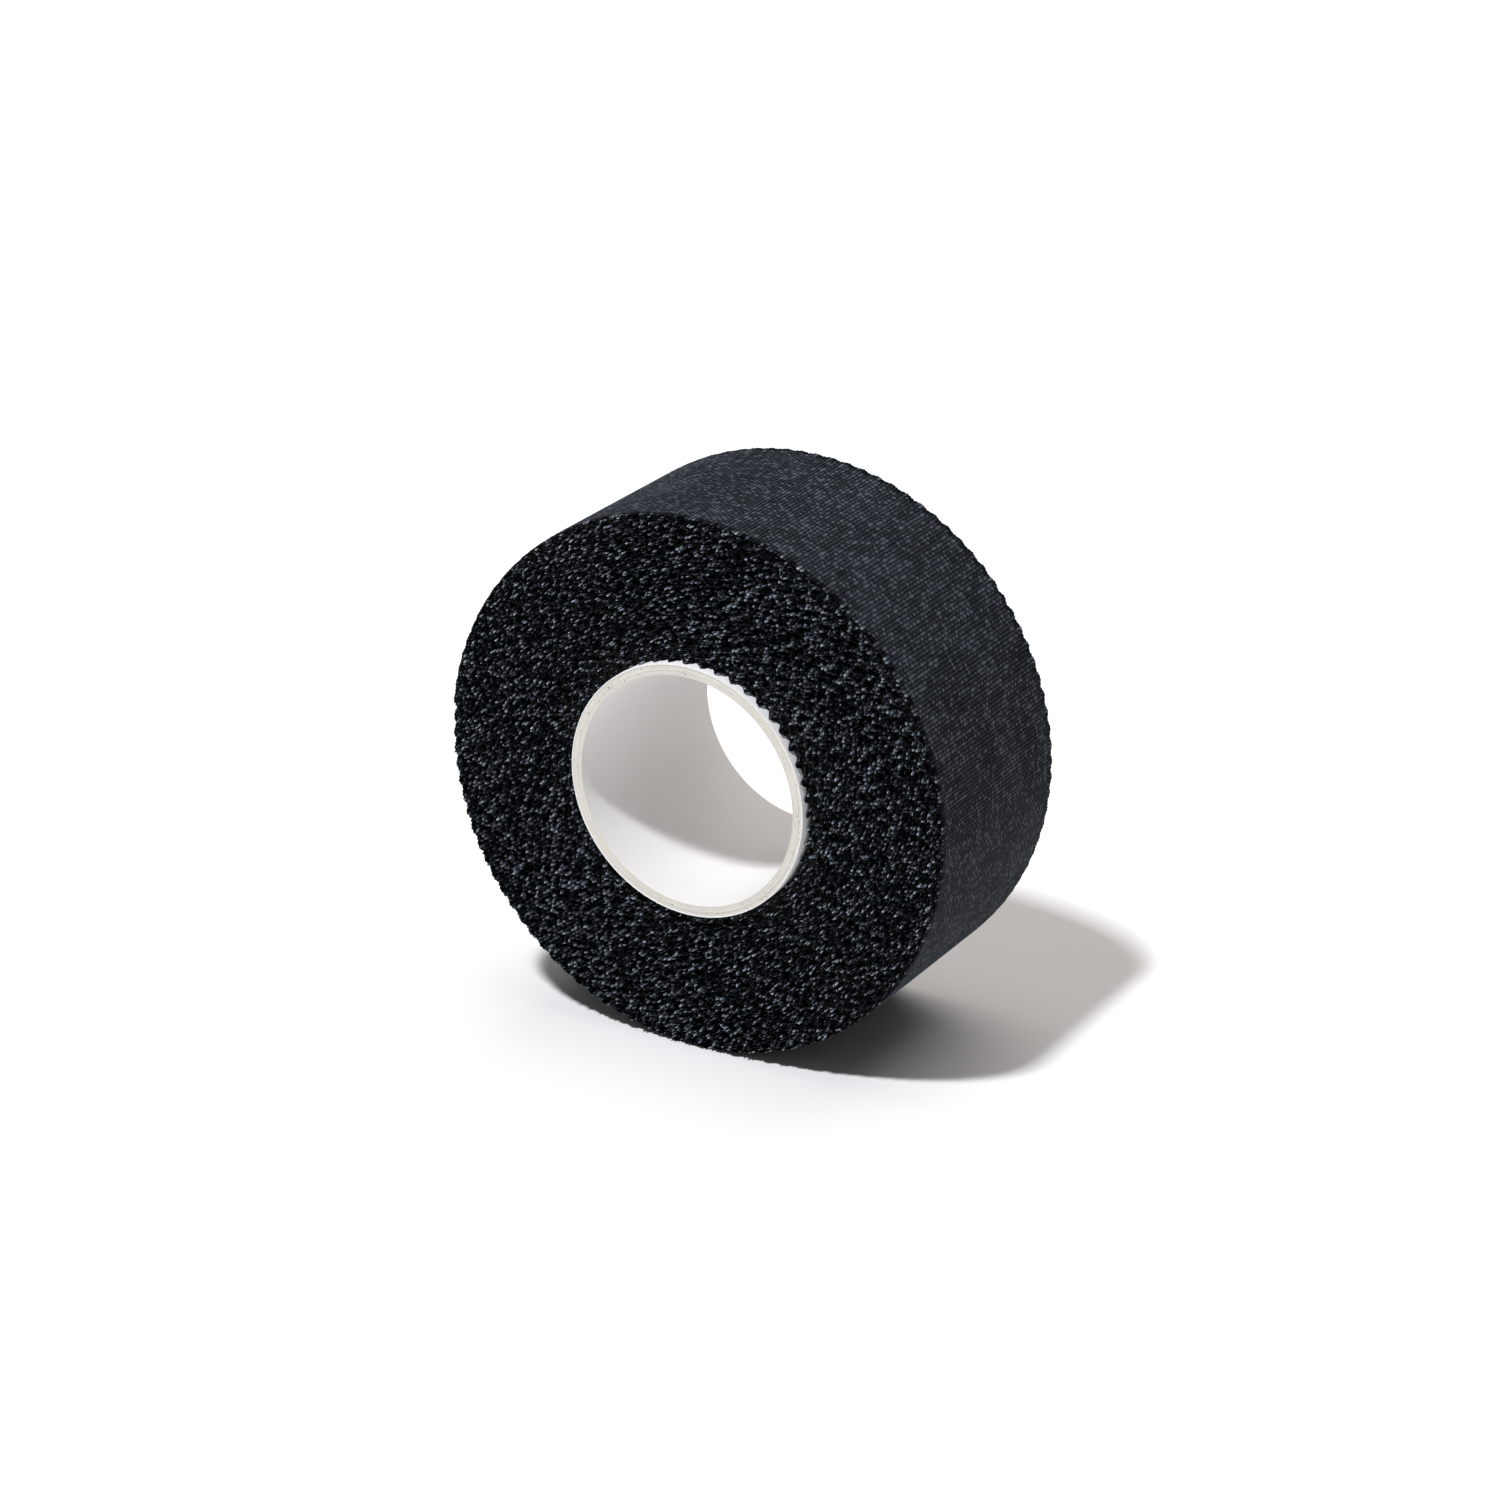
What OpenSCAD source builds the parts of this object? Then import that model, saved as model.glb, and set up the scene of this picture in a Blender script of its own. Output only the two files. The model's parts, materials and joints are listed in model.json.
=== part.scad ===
// A roll of woven cotton grip tape on a paperboard core.
// The roll lies with its axis along Y. The origin is the centre of the bore, and +Z is up.
// The tape is one strip, wound outwards from the core. Its laps are stuck to each
// other across the middle and stand apart at both edges. Its last few millimetres
// are a free end that lifts off the roll about a hinge line.

/* [Tape] */
// Width of the tape, from tooth tip to tooth tip
tape_w = 25; // [12:0.5:50]
// Thickness of the woven cloth
cloth_t = 0.18; // [0.12:0.01:0.4]
// Thickness of the adhesive coat on the cloth's inner side
adhesive_t = 0.054; // [0.04:0.002:0.12]
// Full laps wound on the core, before the last part lap
full_laps = 66; // [4:1:80]
// How far the edges of the laps stand apart, in from the tooth tips
edge_depth = 0.8; // [0.3:0.05:1.5]

/* [Core] */
// Diameter of the bore through the core
bore_d = 25.4; // [12:0.1:80]
// Length of the core along its axis
core_l = 25.4; // [12:0.1:52]
// Thickness of the smooth white paper that lines the bore
liner_t = 0.12; // [0.08:0.01:0.4]
// Thickness of each ply of board
ply_t = 0.32; // [0.15:0.01:1]
// Thickness of the white paper round the outside of the board
wrap_t = 0.13; // [0.08:0.01:0.4]

/* [Free end] */
// Where the hinge line of the free end lies, turned from +X towards +Z
hinge_angle = 150; // [130:1:165]
// Length of the free end, measured round the roll
free_l = 12; // [6:0.5:20]
// Gap between the free end and the lap beneath it
lift_gap = 0.08; // [0.05:0.01:0.3]
// Gap between the free end and the tape that it carries on from
butt_gap = 0.05; // [0.02:0.01:0.2]
// Distance from one tooth to the next along a pinked edge
tooth_pitch = 1.85; // [1:0.05:4]
// Width of each tooth at its tip
tip_w = 0.1; // [0.05:0.01:0.5]

/* [Hidden] */
$fn = 180;

WHITE_PAPER = [0.93, 0.93, 0.92];
BOARD = [0.84, 0.82, 0.77];
BLACK_COTTON = [0.09, 0.09, 0.1];
ADHESIVE = [0.16, 0.15, 0.14];

liner_r = bore_d / 2;
board_r = liner_r + liner_t;
wrap_r = board_r + 3 * ply_t;
core_r = wrap_r + wrap_t;

// Each full lap takes the tape one pitch further out.
pitch = cloth_t + adhesive_t;
last_lap_r = core_r + full_laps * pitch;
roll_r = last_lap_r + pitch;
half_turn = 180;

degrees_per_mm = half_turn / (PI * roll_r);
free_angle = free_l * degrees_per_mm;
butt_angle = butt_gap * degrees_per_mm;
tooth_angle = tooth_pitch * degrees_per_mm;
teeth = floor(free_l / tooth_pitch);
notch_half_w = (tooth_pitch - tip_w) / 2;

// How far a cutter runs past what it cuts
over = 1;

// Lays a shape that is drawn about Z along the roll's own axis, Y.
module along_y() {
    rotate([90, 0, 0]) children();
}

// One paper layer of the core, from radius r outwards.
module core_layer(r, t) {
    along_y() difference() {
        cylinder(r = r + t, h = core_l, center = true);
        cylinder(r = r, h = core_l + over, center = true);
    }
}

// A strip of width w, bent at radius r from one angle to another.
module bent_strip(r, t, w, from_angle, to_angle) {
    rotate([0, 0, from_angle])
        rotate_extrude(angle = to_angle - from_angle)
            translate([r, -w / 2])
                square([t, w]);
}

// A strip that grows by a pitch a lap. The upper half of every lap turns about the
// roll's axis, and the lower half about a line half a pitch beside it, so each half
// meets the next. It starts at radius r and ends at the hinge line.
module spiral_strip(r, t, w, laps) {
    for (lap = [0 : laps - 1]) {
        bent_strip(r + lap * pitch, t, w, 0, half_turn);
        translate([pitch / 2, 0, 0])
            bent_strip(r + (lap + 0.5) * pitch, t, w, half_turn, 2 * half_turn);
    }
    bent_strip(r + laps * pitch, t, w, 0, hinge_angle - butt_angle);
}

// The row of vee notches that pinking leaves along one edge of the free end:
// side is 1 for one edge and -1 for the other.
module notches(side) {
    for (i = [0 : teeth - 1])
        rotate([0, 0, hinge_angle + (i + 0.5) * tooth_angle])
            translate([last_lap_r - over, 0, side * tape_w / 2])
                rotate([90, 0, 90])
                    linear_extrude(pitch + lift_gap + 2 * over)
                        polygon([
                            [0, -side * edge_depth],
                            [notch_half_w, 0],
                            [notch_half_w, side * over],
                            [-notch_half_w, side * over],
                            [-notch_half_w, 0]
                        ]);
}

// All the laps of cloth and adhesive together, in as far as they are stuck.
module wound_middle() {
    middle_w = tape_w - 2 * edge_depth;
    bent_strip(core_r, full_laps * pitch, middle_w, 0, half_turn);
    translate([pitch / 2, 0, 0])
        bent_strip(core_r + pitch / 2, full_laps * pitch, middle_w, half_turn, 2 * half_turn);
    bent_strip(last_lap_r, pitch, middle_w, 0, hinge_angle - butt_angle);
}

// One layer of the free end, which carries the last part lap on from the hinge line.
module free_layer(r, t) {
    along_y() difference() {
        bent_strip(r, t, tape_w, hinge_angle, hinge_angle + free_angle);
        notches(1);
        notches(-1);
    }
}

module core_liner() {
    color(WHITE_PAPER) core_layer(liner_r, liner_t);
}

module core_ply_inner() {
    color(BOARD) core_layer(board_r, ply_t);
}

module core_ply_middle() {
    color(BOARD) core_layer(board_r + ply_t, ply_t);
}

module core_ply_outer() {
    color(BOARD) core_layer(board_r + 2 * ply_t, ply_t);
}

module core_wrap() {
    color(WHITE_PAPER) core_layer(wrap_r, wrap_t);
}

// The cloth laps, apart at the edges, and the stuck middle that holds them together.
module tape_wound() {
    color(BLACK_COTTON) along_y() union() {
        spiral_strip(core_r + adhesive_t, cloth_t, tape_w, full_laps);
        wound_middle();
    }
}

module free_end_adhesive() {
    color(ADHESIVE) free_layer(last_lap_r + lift_gap, adhesive_t);
}

module free_end_cloth() {
    color(BLACK_COTTON) free_layer(last_lap_r + lift_gap + adhesive_t, cloth_t);
}

core_liner();
core_ply_inner();
core_ply_middle();
core_ply_outer();
core_wrap();
tape_wound();
free_end_cloth();
free_end_adhesive();
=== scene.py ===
# %% [markdown]
# # A roll of grip tape
# This lesson builds one roll of black cotton grip tape on a paperboard core.
# The CAD model is loaded first and is the frame for everything: its sizes, its
# bodies and its one joint, the free end that peels off the roll.
# Each visible piece is then made again in Blender with the detail that the CAD
# solids leave out: pinked teeth, woven yarns, cut board and rolled paper.

# %% Load the CAD frame
import json
import math

import bpy
import numpy as np
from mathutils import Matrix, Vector


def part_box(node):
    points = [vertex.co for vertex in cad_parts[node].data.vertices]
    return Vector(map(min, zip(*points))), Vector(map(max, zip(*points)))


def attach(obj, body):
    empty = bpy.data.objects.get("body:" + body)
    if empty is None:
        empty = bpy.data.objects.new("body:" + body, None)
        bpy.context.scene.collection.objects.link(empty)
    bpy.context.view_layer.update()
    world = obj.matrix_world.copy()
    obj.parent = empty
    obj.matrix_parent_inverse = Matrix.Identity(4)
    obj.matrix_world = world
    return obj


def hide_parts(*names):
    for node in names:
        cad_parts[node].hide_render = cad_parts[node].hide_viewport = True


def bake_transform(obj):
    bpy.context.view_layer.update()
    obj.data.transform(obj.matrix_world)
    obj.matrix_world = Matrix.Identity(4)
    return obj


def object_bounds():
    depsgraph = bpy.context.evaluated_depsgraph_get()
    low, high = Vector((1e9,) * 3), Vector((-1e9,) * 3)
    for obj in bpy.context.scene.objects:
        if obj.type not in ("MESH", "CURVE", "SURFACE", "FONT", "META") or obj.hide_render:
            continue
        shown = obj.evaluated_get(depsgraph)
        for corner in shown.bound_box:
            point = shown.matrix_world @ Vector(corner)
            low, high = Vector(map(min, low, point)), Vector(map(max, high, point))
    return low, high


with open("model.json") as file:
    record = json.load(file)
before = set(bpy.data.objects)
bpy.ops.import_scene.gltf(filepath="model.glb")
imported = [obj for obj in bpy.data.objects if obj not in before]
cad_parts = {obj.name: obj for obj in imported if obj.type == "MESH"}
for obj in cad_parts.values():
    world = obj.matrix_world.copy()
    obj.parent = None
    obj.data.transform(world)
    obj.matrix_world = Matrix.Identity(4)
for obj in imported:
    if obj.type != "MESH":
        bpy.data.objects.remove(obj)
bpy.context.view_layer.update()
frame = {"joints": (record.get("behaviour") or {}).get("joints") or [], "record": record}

# %% [markdown]
# ## Sizes
# Every size comes from the CAD nodes or is a measure of the cloth itself.
# The wound tape grows by one pitch a lap. The CAD draws each lap as two exact
# half turns: the upper half about the roll's axis, the lower half about a line
# half a pitch beside it. The same rule is used here, so the teeth and yarns
# made below lie exactly where the CAD's laps lie.

# %% Sizes of the core and of the tape
MM = 0.001
CORE_HALF_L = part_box("core_liner")[1][1]
CORE_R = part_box("core_wrap")[1][0]
BORE_R = frame["record"]["mounts"][0]["dims"]["r_mm"] * MM
TAPE_HALF_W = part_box("tape_wound")[1][1]
FULL_LAPS = 66
PITCH = (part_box("tape_wound")[1][0] - CORE_R) / (FULL_LAPS + 1)
CLOTH_T = 0.18 * MM
ADHESIVE_T = PITCH - CLOTH_T
HINGE = Vector(frame["joints"][0]["pos_m"])
HINGE_ANGLE = math.atan2(HINGE.z, HINGE.x)
FREE_L = 12 * MM
print(f"core {CORE_R / MM:.2f} mm, pitch {PITCH / MM:.4f} mm, adhesive {ADHESIVE_T / MM:.3f} mm")

# %% Sizes of the cloth
WEFT = 0.42 * MM  # from one yarn across the tape to the next
WARP = 0.345 * MM  # from one yarn along the tape to the next
STEP = WEFT / 2  # one sample on each weft yarn and one between two
TOOTH = 1.85 * MM  # from one pinked tooth to the next
TOOTH_DEPTH = 1.0 * MM

# %% The spiral
half_turns = np.arange(2 * FULL_LAPS + 3)
cloth_r = CORE_R + ADHESIVE_T + CLOTH_T / 2 + half_turns * PITCH / 2
half_start = np.concatenate([[0.0], np.cumsum(math.pi * cloth_r)])


def spiral(distance, height):
    """X and Z of points that far along the tape and that far above the cloth's middle."""
    half = np.clip(np.searchsorted(half_start, distance, side="right") - 1, 0, 2 * FULL_LAPS)
    angle = half * math.pi + (distance - half_start[half]) / cloth_r[half]
    radius = cloth_r[half] + height
    shift = np.where(half % 2 == 1, PITCH / 2, 0.0)
    return shift + radius * np.cos(angle), radius * np.sin(angle)


HINGE_AT = half_start[2 * FULL_LAPS] + cloth_r[2 * FULL_LAPS] * HINGE_ANGLE
LAST_SAMPLE = int(round((HINGE_AT + FREE_L) / STEP))
HINGE_SAMPLE = int(round(HINGE_AT / STEP))
print(f"tape wound {HINGE_AT:.3f} m, samples {LAST_SAMPLE}")

# %% [markdown]
# ## Two small helpers
# Operators act on all that is selected, and loading the frame leaves the CAD
# nodes selected. So every piece starts from an empty selection, and every piece
# ends the same way: transforms applied, a material, and the CAD nodes that it
# stands for hidden. All but the free end also get a body to ride on.

# %% Helpers that select and apply


def clear_selection():
    """Leaves nothing selected, so that the next operator acts on the new piece alone."""
    for other in bpy.context.selected_objects:
        other.select_set(False)


def only(piece):
    """Selects one piece and makes it the active one."""
    clear_selection()
    piece.select_set(True)
    bpy.context.view_layer.objects.active = piece


def apply_modifiers(piece):
    """Applies every modifier of a piece, in order."""
    only(piece)
    for modifier in list(piece.modifiers):
        bpy.ops.object.modifier_apply(modifier=modifier.name)


# %% Helpers that read and move a mesh's points


def corners(mesh):
    """All the vertices of a mesh as rows of x, y, z."""
    flat = np.empty(len(mesh.vertices) * 3, np.float32)
    mesh.vertices.foreach_get("co", flat)
    return flat.reshape(-1, 3).astype(float)


def put_corners(mesh, places):
    """Moves all the vertices of a mesh."""
    mesh.vertices.foreach_set("co", np.ascontiguousarray(places, np.float32).ravel())
    mesh.update()


def triangles(piece):
    """How many triangles a piece has."""
    return sum(len(face.vertices) - 2 for face in piece.data.polygons)


# %% [markdown]
# ## The yarns of the pinked edges
# The tape's edges are cut with a pinking wheel, which leaves a row of vee teeth
# so that the weave can't unravel. Under a lens, each tooth is a staircase of
# yarn ends. A random but seeded table is made once for the whole tape: how deep
# each tooth is cut, how far each yarn end sticks out, and how the laps wander
# from side to side as the tape is wound. Reading every piece from one table
# makes the pieces meet without a seam.

# %% Samples along the tape
SEED = 4821
SPARE = 40  # samples past the end, so that the last slice can be read too
rng = np.random.default_rng(SEED)
samples = np.arange(LAST_SAMPLE + SPARE)
along = samples * STEP
on_yarn = samples % 2 == 0  # the other samples lie between two yarns
yarn = samples // 2
YARNS = yarn.max() + 2
lap = (np.sqrt(CORE_R**2 + PITCH * along / math.pi) - CORE_R) / PITCH
laps_left = (HINGE_AT - along) / (2 * math.pi * cloth_r[-1])
print(f"{len(samples)} samples on {yarn.max()} yarns, {lap.max():.1f} laps")

# %% Shape of the two faces
DISH = 0.35 * MM  # how far the laps near the core are drawn in, so that its rim stands proud
DISHED_LAPS = 9
ROUNDED_LAPS = 5
dish = DISH * np.clip(lap / 1.2, 0, 1) * np.exp(-((lap / DISHED_LAPS) ** 2))


def shoulder(rounding):
    """How far the edges of the outermost laps are drawn in, which rounds the roll's corner."""
    return rounding * np.clip(1 - laps_left / ROUNDED_LAPS, 0, 1) ** 2


def wander(spacing, size, count):
    """A smooth random line through knots a given number of samples apart."""
    knots = rng.normal(0, size, count // spacing + 3)
    place = np.arange(count) / spacing
    low = place.astype(int)
    part = place - low
    part = part * part * (3 - 2 * part)
    return knots[low] * (1 - part) + knots[low + 1] * part


print(f"faces dished by up to {dish.max() / MM:.2f} mm near the core")

# %% Tables of the two edges
TOOTH_SLIP = 0.06  # how far the pinking wheel slips, in teeth
FRAY = 0.055 * MM  # how unevenly the yarn ends are cut
FRAY_OUT = 0.065 * MM  # how far a long yarn end stands out past its tooth
GAP_DEPTH = 0.22 * MM  # how far back the cloth closes between two yarn ends
TOOTH_FLARE = 0.03 * MM
YARN_FLARE = 0.045 * MM
EDGE_SHADE_TONE = 0.73  # how light the cut edges are painted beside the tread, as painted shade among the yarn ends


def edge_table(depth_share, rounding):
    """For one edge: set-in from the tape's full width, flare, swelling, painted glint, and painted
    shade that is lightest at the tips.
    """
    count = len(samples)
    tooth = along / TOOTH + rng.uniform() + wander(400, TOOTH_SLIP, count)
    number = tooth.astype(int)
    part = tooth - number
    point = 1 - np.abs(2 * part - 1)  # 0 in a notch, 1 at a tip
    point = 0.6 * point + 0.4 * (0.5 - 0.5 * np.cos(math.pi * point))  # a slightly blunted vee
    teeth = number.max() + 2
    inner = np.clip(laps_left - 0.5, 0, 1)  # 0 on the outer lap, whose edge is pressed smooth
    first_lap = np.clip(1.3 - lap, 0, 1)  # 1 on the first lap, which is pressed on the core
    depth = TOOTH_DEPTH * rng.uniform(0.85, 1.15, teeth)[number]
    depth *= (depth_share + (1 - depth_share) * inner) * (1 + 0.1 * first_lap)
    pressed = 1 - 0.6 * first_lap
    fray = (rng.gamma(1.3, FRAY, YARNS) - FRAY_OUT)[yarn] * (0.35 + 0.65 * inner) * pressed
    between = np.where(on_yarn, 0.0, GAP_DEPTH + rng.uniform(-0.06, 0.1, count) * MM)
    between *= (0.3 + 0.7 * inner) * pressed
    inset = depth * (1 - point) + fray + between + shoulder(rounding) + dish
    flare = rng.normal(0, TOOTH_FLARE, teeth)[number] * point
    flare = (flare + rng.normal(0, YARN_FLARE, YARNS)[yarn]) * inner
    swell = np.where(on_yarn, rng.uniform(0.55, 1.5, YARNS)[yarn], 0.5)
    # Painted glints: a few yarn ends are painted light, most of all at the tips of the teeth.
    painted_glint = np.where(on_yarn, rng.uniform(0, 1, YARNS)[yarn] ** 4 * (0.25 + 0.75 * point), 0.0)
    # Painted shade: the cut edge is painted darker than the tread, darkest in the notches and between
    # two yarn ends, lightest at the tips.
    tip = EDGE_SHADE_TONE * point * (0.35 + 0.65 * on_yarn)
    return {"inset": inset, "flare": flare, "swell": swell, "painted_glint": painted_glint, "tip": tip}


edges = {-1: edge_table(0.2, 0.6 * MM), 1: edge_table(0.35, 0.1 * MM)}
sway = wander(260, 0.05 * MM, len(samples)) + wander(900, 0.06 * MM, len(samples))
for side, cut in edges.items():
    set_in = cut["inset"] / MM
    print(f"edge {side}: set in {set_in.mean():.2f} mm on average, {set_in.max():.2f} mm at most")

# %% [markdown]
# ## A strip of tape
# A strip could be drawn as a curve with a bevel, but the teeth need their own
# points. It could be a grid with Solidify, but then the cut edge is a flat
# wall. Here it is made as a maker would think of it: one slice of the tape, half
# a yarn long, is a closed ring of points round the cloth's section. An Array
# repeats the slice, and the long straight strip is then wound on the spiral.

# %% The section of the tape
RIM = 0.05 * MM  # how far in the cut edge is rounded
RIM_HEIGHT = 0.65  # how high the cloth is there, in half thicknesses
SHOULDER = 0.32 * MM  # how far in the cloth has its full thickness
HALF_T = CLOTH_T / 2


def section(columns, upper=HALF_T, lower=-HALF_T):
    """Points round the section: side, set-in from the cut edge or None, place across, height.

    columns are the places across of extra points on the upper face.
    """
    middle, half = (upper + lower) / 2, (upper - lower) / 2
    rim = RIM_HEIGHT * half
    ring = [(1, SHOULDER, 0, upper), (1, RIM, 0, middle + rim), (1, 0, 0, middle)]
    ring += [(1, RIM, 0, middle - rim), (1, SHOULDER, 0, lower)]
    ring += [(-1, inset, 0, 2 * middle - height) for side, inset, place, height in ring]
    ring += [(0, None, place, upper) for place in columns]
    return np.array(ring, float)  # None becomes NaN


PLAIN = section([])
WOVEN_HALF = 64  # points each side of the middle, half a yarn apart
WOVEN = section([column * WARP / 2 for column in range(-WOVEN_HALF, WOVEN_HALF + 1)])
print(f"section of {len(PLAIN)} points under the outer lap, and {len(WOVEN)} on it")

# %% A straight strip


def straight_strip(name, ring, slices, step=STEP):
    """A straight closed strip along X: one slice modelled once and repeated."""
    clear_selection()
    bpy.ops.mesh.primitive_circle_add(vertices=len(ring), radius=MM, fill_type="NOTHING")
    piece = bpy.context.object
    piece.name = piece.data.name = name
    points = piece.data.attributes.new("section_point", "INT", "POINT")
    points.data.foreach_set("value", np.arange(len(ring), dtype=np.int32))
    for vertex, (side, inset, place, height) in zip(piece.data.vertices, ring):
        vertex.co = (0, side * (TAPE_HALF_W - inset) if side else place, height)
    bpy.ops.object.mode_set(mode="EDIT")
    bpy.ops.mesh.select_all(action="SELECT")
    bpy.ops.mesh.extrude_region_move(TRANSFORM_OT_translate={"value": (step, 0, 0)})
    bpy.ops.object.mode_set(mode="OBJECT")
    array = piece.modifiers.new("Slices", "ARRAY")
    array.count = slices
    array.use_relative_offset = False
    array.use_constant_offset = True
    array.constant_offset_displace = (step, 0, 0)
    array.use_merge_vertices = True
    array.merge_threshold = step / 20
    apply_modifiers(piece)
    only(piece)
    bpy.ops.object.mode_set(mode="EDIT")
    bpy.ops.mesh.select_all(action="SELECT")
    bpy.ops.mesh.fill_holes(sides=0)
    bpy.ops.mesh.select_all(action="SELECT")
    bpy.ops.mesh.normals_make_consistent(inside=False)
    bpy.ops.object.mode_set(mode="OBJECT")
    return piece


# %% Winding a strip
SHOULDER_LOOSE = 0.3  # how much of the rim's flare the shoulder takes part in
YARN_OVER, YARN_UNDER, YARN_SIDE, HOLE = 1.0, 0.45, -0.2, -1.0  # heights of a weave's points


def wind(piece, ring, first, relief=0.0):
    """Winds a straight strip on the spiral, from sample number first, and cuts its teeth."""
    mesh = piece.data
    straight = corners(mesh)
    point = np.empty(len(mesh.vertices), np.int32)
    mesh.attributes["section_point"].data.foreach_get("value", point)
    sample = np.rint(straight[:, 0] / STEP).astype(int) + first
    side, set_in, place, height = ring[point].T
    on_edge = side != 0
    cut = {key: np.where(side > 0, edges[1][key][sample], edges[-1][key][sample]) for key in edges[1]}
    loose = np.where(on_edge, np.where(set_in < SHOULDER, 1.0, SHOULDER_LOOSE), 0.0)
    swollen = np.where(set_in < SHOULDER, height * cut["swell"], height)
    place = np.where(on_edge, side * (TAPE_HALF_W - cut["inset"] - np.nan_to_num(set_in)), place)
    weave = np.where(on_edge, 0.0, relief * woven_height(sample, place))
    x, z = spiral(sample * STEP, swollen + loose * cut["flare"] + weave)
    put_corners(mesh, np.stack([x, place + sway[sample], z], 1))
    # The painted glints and the painted shade of the cut edges are kept on the mesh for the material.
    keep_value(mesh, "painted_glint", cut["painted_glint"] * loose)
    keep_value(mesh, "tip", np.where(on_edge, cut["tip"], 1.0))
    lay_cloth(mesh, sample, place)


def woven_height(sample, place):
    """The height of a plain weave, from -1 to 1: the yarns pass over and under in turn."""
    column = np.rint(place / (WARP / 2)).astype(int)
    on_weft, on_warp = sample % 2 == 0, column % 2 == 0
    crossing = np.where((sample // 2 + column // 2) % 2 == 0, YARN_OVER, YARN_UNDER)
    beside = np.where(on_weft | on_warp, YARN_SIDE, HOLE)
    return np.where(on_weft & on_warp, crossing, beside)


def keep_value(mesh, name, values):
    """Stores one number a vertex for a material to read."""
    mesh.attributes.new(name, "FLOAT", "POINT").data.foreach_set("value", values.astype(np.float32))


def lay_cloth(mesh, sample, across):
    """A UV map that counts yarns: U in wefts along the tape, V in warps across it."""
    while mesh.uv_layers:
        mesh.uv_layers.remove(mesh.uv_layers[0])
    layer = mesh.uv_layers.new(name="cloth")
    loops = np.empty(len(mesh.loops), np.int32)
    mesh.loops.foreach_get("vertex_index", loops)
    uv = np.stack([sample / 2.0, across / WARP], 1)[loops]
    layer.data.foreach_set("uv", uv.astype(np.float32).ravel())


# %% [markdown]
# ## Cotton
# Black cotton tape is never quite black. Each yarn is a twist of fine fibres
# that scatter light, so the cloth has a soft sheen at a glance. The glints of
# single cut yarn ends and of a few crossings are painted into the colour, and so
# is the shade between the yarns and among the cut yarn ends. The rest of the
# colour is mixed from the yarn pattern, from long fibres drawn along each yarn,
# and from slow patches of wear. The pattern is read from the cloth's own UV map,
# so it follows the tape round the roll.

# %% Material helpers


def new_material(name, preview):
    """A material with an empty node tree but for its Principled shader and its output."""
    material = bpy.data.materials.new(name)
    material.use_nodes = True
    material.diffuse_color = (*preview, 1)
    return material, material.node_tree.nodes, material.node_tree.links


def math_node(nodes, links, operation, first, second=None, third=None):
    """A Math node with its inputs linked or set, and its output."""
    node = nodes.new("ShaderNodeMath")
    node.operation = operation
    for socket, value in zip(node.inputs, (first, second, third)):
        if value is None:
            continue
        if isinstance(value, (int, float)):
            socket.default_value = value
        else:
            links.new(value, socket)
    return node.outputs[0]


def colour_mix(nodes, links, share, low, high):
    """A colour between two, by a share from 0 to 1."""
    node = nodes.new("ShaderNodeMix")
    node.data_type = "RGBA"
    links.new(share, node.inputs["Factor"])
    for socket, colour in ((node.inputs["A"], low), (node.inputs["B"], high)):
        if isinstance(colour, tuple):
            socket.default_value = (*colour, 1)
        else:
            links.new(colour, socket)
    return node.outputs["Result"]


def noise(nodes, links, vector, scale, detail=2.0):
    """A noise texture's value."""
    node = nodes.new("ShaderNodeTexNoise")
    node.inputs["Scale"].default_value = scale
    node.inputs["Detail"].default_value = detail
    links.new(vector, node.inputs["Vector"])
    return node.outputs["Fac"]


def stretched(nodes, links, vector, scale, shift=(0.0, 0.0, 0.0)):
    """A vector scaled by a different number each way, then shifted."""
    node = nodes.new("ShaderNodeMapping")
    node.inputs["Scale"].default_value = scale
    node.inputs["Location"].default_value = shift
    links.new(vector, node.inputs["Vector"])
    return node.outputs["Vector"]


# %% Values kept on the mesh


def attribute(nodes, name):
    """A number kept on the mesh's vertices."""
    node = nodes.new("ShaderNodeAttribute")
    node.attribute_name = name
    return node.outputs["Fac"]


# %% The weave as a height


def weave_height(nodes, links, weft, warp):
    """A plain weave's height and which yarn is on top, from counts of wefts and of warps."""

    def calc(operation, *values):
        return math_node(nodes, links, operation, *values)

    tops = []
    for own, other, sign in ((weft, warp, 1.0), (warp, weft, -1.0)):
        number = calc("ROUND", own)
        off_middle = calc("MULTIPLY", calc("SUBTRACT", own, number), 2.1)
        fall = calc("MULTIPLY", off_middle, off_middle)
        round_yarn = calc("SQRT", calc("MAXIMUM", calc("SUBTRACT", 1.0, fall), 0.0))
        crossing = calc("COSINE", calc("MULTIPLY", calc("ADD", number, other), math.pi))
        tops.append(calc("MULTIPLY_ADD", crossing, 0.55 * sign, round_yarn))
    return calc("MAXIMUM", *tops), calc("GREATER_THAN", *tops)


# %% The cotton material


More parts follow.
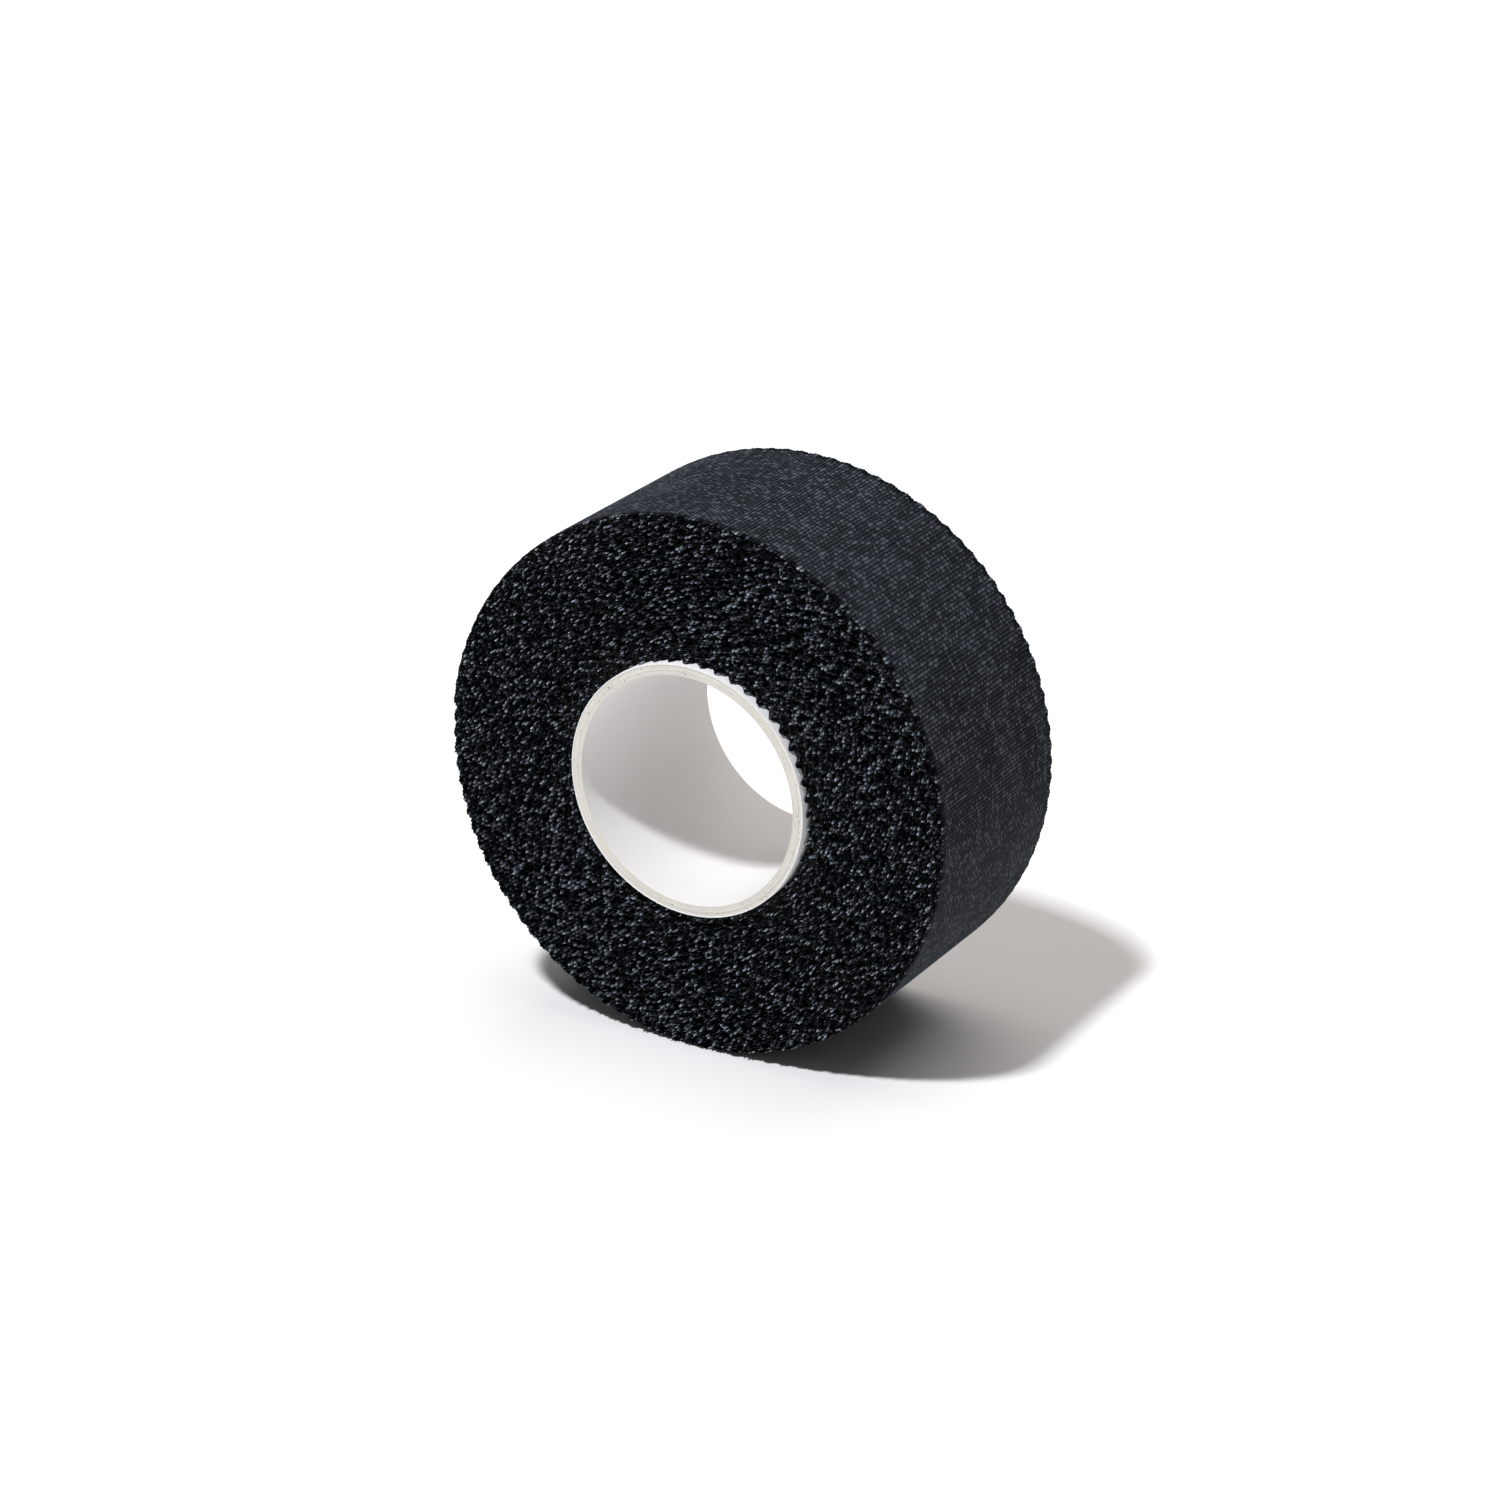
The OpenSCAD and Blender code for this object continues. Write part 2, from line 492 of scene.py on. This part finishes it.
def cotton():
    """Black woven cotton, read from the cloth UV map in yarns."""
    material, nodes, links = new_material("black_cotton", (0.05, 0.05, 0.06))
    shader = nodes["Principled BSDF"]

    def calc(operation, *values):
        return math_node(nodes, links, operation, *values)

    cloth = nodes.new("ShaderNodeUVMap")
    cloth.uv_map = "cloth"
    yarns = cloth.outputs["UV"]
    part = nodes.new("ShaderNodeSeparateXYZ")
    links.new(yarns, part.inputs[0])
    height, weft_on_top = weave_height(nodes, links, part.outputs["X"], part.outputs["Y"])
    weft_fibres = noise(nodes, links, stretched(nodes, links, yarns, (9.0, 1.1, 1.0)), 1.0, 3.0)
    warp_fibres = noise(nodes, links, stretched(nodes, links, yarns, (1.1, 8.0, 1.0)), 1.0, 3.0)
    fibres = nodes.new("ShaderNodeMix")
    links.new(weft_on_top, fibres.inputs["Factor"])
    links.new(warp_fibres, fibres.inputs["A"])
    links.new(weft_fibres, fibres.inputs["B"])
    fibre = fibres.outputs["Result"]

    # One random number for each crossing, for painted glints, and slow noise for slubs and for wear.
    knuckle = nodes.new("ShaderNodeTexWhiteNoise")
    knuckle.noise_dimensions = "2D"
    crossing = nodes.new("ShaderNodeVectorMath")
    crossing.operation = "FLOOR"
    links.new(stretched(nodes, links, yarns, (1.0, 1.0, 1.0), (0.5, 0.5, 0.0)), crossing.inputs[0])
    links.new(crossing.outputs[0], knuckle.inputs["Vector"])
    patch = noise(nodes, links, yarns, 0.06, 3.0)
    slub_weft = noise(nodes, links, stretched(nodes, links, yarns, (0.9, 0.06, 1.0)), 1.0, 1.0)
    slub_warp = noise(nodes, links, stretched(nodes, links, yarns, (0.06, 0.9, 1.0)), 1.0, 1.0)
    tip = attribute(nodes, "tip")
    painted_glint = attribute(nodes, "painted_glint")

    # Painted shade: only the crown of a yarn is painted light, and it is painted dark where it dives
    # under the next.
    painted_weave_shade = calc("MAXIMUM", calc("MULTIPLY_ADD", height, 1.05, -0.6), 0.0)
    painted_weave_shade = calc("MULTIPLY", calc("MULTIPLY", painted_weave_shade, painted_weave_shade), calc("MULTIPLY_ADD", fibre, 1.4, 0.3))
    # Painted glints: the ninth power leaves most crossings dull and paints a few of them light, as
    # glints.
    painted_knuckle_glint = calc("MULTIPLY_ADD", calc("POWER", knuckle.outputs["Value"], 9.0), 4.0, 0.50)
    rib = calc("MULTIPLY_ADD", weft_on_top, 0.5, 0.75)  # the yarns across the tape stand out most
    slub = calc("MULTIPLY", calc("MULTIPLY_ADD", calc("MULTIPLY", slub_weft, slub_warp), 3.4, 0.1), rib)
    worn = calc("MULTIPLY_ADD", patch, 1.2, 0.4)
    tone = calc("MULTIPLY", calc("MULTIPLY", painted_weave_shade, painted_knuckle_glint), calc("MULTIPLY", slub, worn))
    # Painted shade of the cut edges: darker in the notches and between the yarn ends.
    tone = calc("MULTIPLY", tone, calc("POWER", tip, 3.0))
    cloth_colour = colour_mix(nodes, links, tone, (0.0010, 0.0018, 0.0031), (0.083, 0.096, 0.114))
    # Painted glints: single cut yarn ends are painted a light blue-white.
    painted_glint_share = calc("MULTIPLY", painted_glint, calc("MULTIPLY_ADD", fibre, 1.6, 0.2))
    colour = colour_mix(nodes, links, painted_glint_share, cloth_colour, (0.56, 0.65, 0.75))
    links.new(colour, shader.inputs["Base Color"])
    links.new(calc("MULTIPLY_ADD", fibre, 0.3, 0.45), shader.inputs["Roughness"])
    shader.inputs["Specular IOR Level"].default_value = 0.02
    shader.inputs["Sheen Weight"].default_value = 0.02
    shader.inputs["Sheen Roughness"].default_value = 0.35
    shader.inputs["Sheen Tint"].default_value = (0.75, 0.82, 1.0, 1)
    bump = nodes.new("ShaderNodeBump")
    bump.inputs["Strength"].default_value = 0.8
    bump.inputs["Distance"].default_value = 0.05 * MM
    links.new(calc("MULTIPLY_ADD", fibre, 0.5, height), bump.inputs["Height"])
    links.new(bump.outputs["Normal"], shader.inputs["Normal"])
    return material


COTTON = cotton()
print("material", COTTON.name)

# %% [markdown]
# ## The wound laps
# Some nine metres of tape are wound on the core. They are made as a few long
# strips, end to end, so that no mesh gets too heavy. Only their cut edges can
# be seen, so a slice has ten points: five round each edge.

# %% Laps under the outer one
OUTER_TURNS = 1.13  # how much tape shows on the tread, with a little to spare
OUTER_FIRST = HINGE_SAMPLE - int(OUTER_TURNS * 2 * math.pi * cloth_r[-3] / STEP)
TAB_FIRST = HINGE_SAMPLE - 30  # the free end's own piece starts this many samples down the roll
LAP_PIECES = 5


def finish(piece, material, slot, *nodes):
    """Gives a finished piece its material and hides the CAD nodes that it stands for; the slot is not
    used.
    """
    piece.data.materials.clear()
    piece.data.materials.append(material)
    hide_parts(*nodes)
    print(f"{piece.name}: {triangles(piece)} triangles")


def tape(name, ring, first, last, material, slot, *nodes, relief=0.0):
    """A finished length of tape, from one sample to another."""
    piece = straight_strip(name, ring, int(last - first))
    wind(piece, ring, int(first), relief)
    finish(piece, material, slot, *nodes)
    return piece


marks = np.linspace(0, OUTER_FIRST, LAP_PIECES + 1).astype(int)
for number, (first, last) in enumerate(zip(marks[:-1], marks[1:]), 1):
    laps = tape(f"tape_laps_{number}", PLAIN, first, last, COTTON, "cotton_cloth", "tape_wound")
    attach(laps, "roll")

# %% Outer lap, with every yarn crossing raised
RELIEF = 0.04 * MM
SOFT_ANGLE = math.radians(70)
marks = np.linspace(OUTER_FIRST, TAB_FIRST, 3).astype(int)
for number, (first, last) in enumerate(zip(marks[:-1], marks[1:]), 1):
    outer = tape(f"outer_lap_{number}", WOVEN, first, last, COTTON, "cotton_cloth",
                 "tape_wound", relief=RELIEF)
    only(outer)
    bpy.ops.object.shade_smooth_by_angle(angle=SOFT_ANGLE)
    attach(outer, "roll")

# %% [markdown]
# ## The core
# The core is paper and board, rolled up and cut through. Each layer is its own
# tube: a cylinder without ends, given its wall by Solidify and a softened rim
# by Bevel. Layers of a cut core never end quite level, so each has its own
# length, and their thin shadows draw the rings on the rim.

# %% Paper and board
CUT_DEPTH = 0.06 * MM  # how far in from its end a cut paper shows its cream inside


def paper(name, low, high, rough, bump_size, fleck_share, cut_colour=None):
    """Matt paper or board with fine fibres, flecks and stains, and its own colour where it is cut."""
    material, nodes, links = new_material(name, high)
    shader = nodes["Principled BSDF"]
    place = nodes.new("ShaderNodeTexCoord").outputs["Object"]
    grain = noise(nodes, links, place, 9000.0, 4.0)
    stain = noise(nodes, links, place, 350.0, 3.0)
    slow = math_node(nodes, links, "MULTIPLY", stain, 0.5)
    tone = math_node(nodes, links, "MULTIPLY_ADD", grain, 0.6, slow)
    colour = colour_mix(nodes, links, tone, low, high)
    fleck = noise(nodes, links, place, 4200.0, 1.0)
    fleck = math_node(nodes, links, "GREATER_THAN", fleck, 1.0 - fleck_share)
    dark = tuple(0.45 * part for part in low)
    colour = colour_mix(nodes, links, fleck, colour, dark)
    if cut_colour:
        parts = nodes.new("ShaderNodeSeparateXYZ")
        links.new(place, parts.inputs[0])
        at_rim = math_node(nodes, links, "ABSOLUTE", parts.outputs["Y"])
        at_rim = math_node(nodes, links, "GREATER_THAN", at_rim, CORE_HALF_L - CUT_DEPTH)
        colour = colour_mix(nodes, links, at_rim, colour, cut_colour)
    links.new(colour, shader.inputs["Base Color"])
    shader.inputs["Roughness"].default_value = rough
    shader.inputs["Specular IOR Level"].default_value = 0.3
    bump = nodes.new("ShaderNodeBump")
    bump.inputs["Strength"].default_value = 0.6
    bump.inputs["Distance"].default_value = bump_size
    links.new(grain, bump.inputs["Height"])
    links.new(bump.outputs["Normal"], shader.inputs["Normal"])
    return material


CREAM = (0.70, 0.68, 0.63)
LINER = paper("bore_paper", (0.765, 0.75, 0.735), (0.84, 0.825, 0.815), 0.6, 0.01 * MM, 0.0, CREAM)
BOARD = paper("cut_board", (0.62, 0.595, 0.53), (0.84, 0.815, 0.75), 0.9, 0.04 * MM, 0.30)
WRAP = paper("wrap_paper", (0.86, 0.86, 0.86), (0.93, 0.93, 0.93), 0.7, 0.01 * MM, 0.0)
print("materials", LINER.name, BOARD.name, WRAP.name)

# %% Core tubes
ROUND = 256
SOFT_RIM = 0.02 * MM


def tube(name, inner_r, outer_r, half_l):
    """A paper tube along Y, with softened rims."""
    clear_selection()
    bpy.ops.mesh.primitive_cylinder_add(vertices=ROUND, radius=outer_r, depth=2 * half_l,
                                        end_fill_type="NOTHING", rotation=(math.pi / 2, 0, 0))
    piece = bpy.context.object
    piece.name = piece.data.name = name
    bpy.ops.object.transform_apply(location=True, rotation=True, scale=True)
    wall = piece.modifiers.new("Wall", "SOLIDIFY")
    wall.thickness = outer_r - inner_r
    wall.offset = -1
    rim = piece.modifiers.new("Rim", "BEVEL")
    rim.width = SOFT_RIM
    rim.segments = 2
    rim.limit_method = "ANGLE"
    apply_modifiers(piece)
    bpy.ops.object.shade_smooth_by_angle(angle=math.radians(40))
    return piece


# name, CAD node, material, slot, how many millimetres each end is short
layers = [
    ("bore_liner", "core_liner", LINER, "bore_paper", 0.03),
    ("board_ply_1", "core_ply_inner", BOARD, "board", 0.05),
    ("board_ply_2", "core_ply_middle", BOARD, "board", 0.02),
    ("board_ply_3", "core_ply_outer", BOARD, "board", 0.06),
    ("core_wrapper", "core_wrap", WRAP, "wrap_paper", 0.0),
]
inner_r = BORE_R
for name, node, material, slot, short in layers:
    outer_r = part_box(node)[1][0]
    layer = tube(name, inner_r, outer_r, CORE_HALF_L - short * MM)
    finish(layer, material, slot, node)
    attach(layer, "roll")
    inner_r = outer_r

# %% [markdown]
# ## The adhesive
# The cloth carries a thin coat of adhesive on its inner side. On the roll it
# fills the space between two laps, just behind the teeth, where it shows only
# as darkness. Under the free end the whole coat comes into view when it lifts.

# %% The adhesive material


def adhesive():
    """Tacky dark adhesive with the cloth's texture pressed into it."""
    material, nodes, links = new_material("tacky_adhesive", (0.04, 0.04, 0.04))
    shader = nodes["Principled BSDF"]
    cloth = nodes.new("ShaderNodeUVMap")
    cloth.uv_map = "cloth"
    blotch = noise(nodes, links, cloth.outputs["UV"], 0.35, 4.0)
    part = nodes.new("ShaderNodeSeparateXYZ")
    links.new(cloth.outputs["UV"], part.inputs[0])
    pressed, _ = weave_height(nodes, links, part.outputs["X"], part.outputs["Y"])
    colour = colour_mix(nodes, links, blotch, (0.016, 0.015, 0.013), (0.060, 0.055, 0.047))
    links.new(colour, shader.inputs["Base Color"])
    rough = math_node(nodes, links, "MULTIPLY_ADD", blotch, 0.5, 0.25)
    links.new(rough, shader.inputs["Roughness"])
    shader.inputs["Specular IOR Level"].default_value = 0.3
    bump = nodes.new("ShaderNodeBump")
    bump.inputs["Strength"].default_value = 0.7
    bump.inputs["Distance"].default_value = 0.03 * MM
    links.new(math_node(nodes, links, "ADD", blotch, pressed), bump.inputs["Height"])
    links.new(bump.outputs["Normal"], shader.inputs["Normal"])
    return material


ADHESIVE = adhesive()
print("material", ADHESIVE.name)

# %% The adhesive between the laps
COARSE = 5  # the hidden adhesive needs a point only every few samples
STUCK_HALF_W = TAPE_HALF_W - TOOTH_DEPTH - 0.1 * MM  # just behind the notches
stuck_corners = ((1, -HALF_T), (1, -HALF_T - ADHESIVE_T), (-1, -HALF_T - ADHESIVE_T), (-1, -HALF_T))
stuck_ring = np.array([(0, np.nan, side * STUCK_HALF_W, height) for side, height in stuck_corners])
winding = straight_strip("adhesive_winding", stuck_ring, TAB_FIRST // COARSE, step=STEP * COARSE)
wind(winding, stuck_ring, 0)
finish(winding, ADHESIVE, "adhesive", "tape_wound")
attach(winding, "roll")

# %% [markdown]
# ## The free end
# The last bit of tape can be peeled up with a fingernail. It is one length of
# cloth that starts on the roll and runs on past the hinge line, so that no gap
# opens as it lifts, with its own coat of adhesive beneath.

# %% Cloth and adhesive of the free end
COAT = section([], -HALF_T, -HALF_T - ADHESIVE_T)
free_cloth = tape("free_end_tape", WOVEN, TAB_FIRST, LAST_SAMPLE, COTTON, "cotton_cloth",
                  "free_end_cloth", "tape_wound", relief=RELIEF)
free_coat = tape("free_end_coat", COAT, TAB_FIRST, LAST_SAMPLE, ADHESIVE, "adhesive",
                 "free_end_adhesive", "tape_wound")
for piece in (free_cloth, free_coat):
    only(piece)
    bpy.ops.object.shade_smooth_by_angle(angle=SOFT_ANGLE)
    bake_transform(piece)

# %% [markdown]
# ## The camera
# The camera stands in front of the roll, to its right and above it, so that the
# pinked face, the bore and the outer lap all show. A long lens from almost half
# a metre away keeps the two rims nearly the same size. Its place and turn are
# given outright, because a constraint would be one more thing to apply.

# %% Camera
CAMERA_AT = Vector((212.8, -359.2, 176.5)) * MM
AZIMUTH, ELEVATION = math.radians(30.62), math.radians(22.91)
LENS_MM, SENSOR_MM = 103.4, 36.0
clear_selection()
bpy.ops.object.camera_add(location=CAMERA_AT, rotation=(math.pi / 2 - ELEVATION, 0, AZIMUTH))
camera = bpy.context.object
camera.data.lens = LENS_MM
camera.data.sensor_width = SENSOR_MM
camera.data.clip_start = 0.01
bpy.context.scene.camera = camera
print(f"camera {CAMERA_AT.length / MM:.0f} mm from the middle of the roll")

# %% [markdown]
# ## The floor
# The roll stands on its outer lap on a plain white floor. One large plane is
# enough: it is matt, so it takes the shadow and hands light back up to the
# black cloth, which would look like a hole without it.

# %% Floor
floor_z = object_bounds()[0][2]
clear_selection()
bpy.ops.mesh.primitive_plane_add(size=6, location=(0, 0, floor_z))
floor = bpy.context.object
floor.name = "floor"
floor_material, floor_nodes, _ = new_material("white_floor", (0.9, 0.9, 0.9))
matt = floor_nodes["Principled BSDF"].inputs
matt["Base Color"].default_value = (0.93, 0.925, 0.92, 1)
matt["Roughness"].default_value = 0.9
matt["Specular IOR Level"].default_value = 0.1
floor.data.materials.append(floor_material)
print(f"floor at {floor_z / MM:.2f} mm")

# %% [markdown]
# ## The light
# Two lights are enough for a small black thing on white. A small, distant key
# light high on the front left draws the sharp shadow and lights the glints that
# are painted on single yarn ends. A large soft light high behind the roll fills
# that shadow, and lights the far side. The background gives a faint, warm, even
# light, so that no gap between two yarns is quite black.

# %% A light that is aimed at the roll


def softbox(name, azimuth, elevation, distance, size, watts, colour):
    """A square area light aimed at the roll, at an azimuth turned from -Y towards +X."""
    turn, rise = math.radians(azimuth), math.radians(elevation)
    way = Vector((math.sin(turn) * math.cos(rise), -math.cos(turn) * math.cos(rise), math.sin(rise)))
    clear_selection()
    aim = way.to_track_quat("Z", "Y").to_euler()
    bpy.ops.object.light_add(type="AREA", location=way * distance, rotation=aim)
    light = bpy.context.object
    light.name = name
    light.data.shape = "SQUARE"
    light.data.size = size
    light.data.energy = watts
    light.data.color = colour
    print(f"{name}: {watts:.0f} W, {size:.2f} m across, {distance:.1f} m away")


# %% Lights and background
softbox("key_light", -15, 64, 3.0, 0.27, 82.0, (0.95, 0.96, 1.0))
softbox("back_light", 180, 68, 1.6, 1.7, 16.0, (1.0, 0.965, 0.935))
world = bpy.data.worlds.new("studio")
bpy.context.scene.world = world
world.use_nodes = True
background = world.node_tree.nodes["Background"].inputs
background["Color"].default_value = (1, 0.97, 0.945, 1)
background["Strength"].default_value = 0.11
bpy.context.scene.view_settings.view_transform = "Standard"
print(f"background strength {background['Strength'].default_value:.2f}")
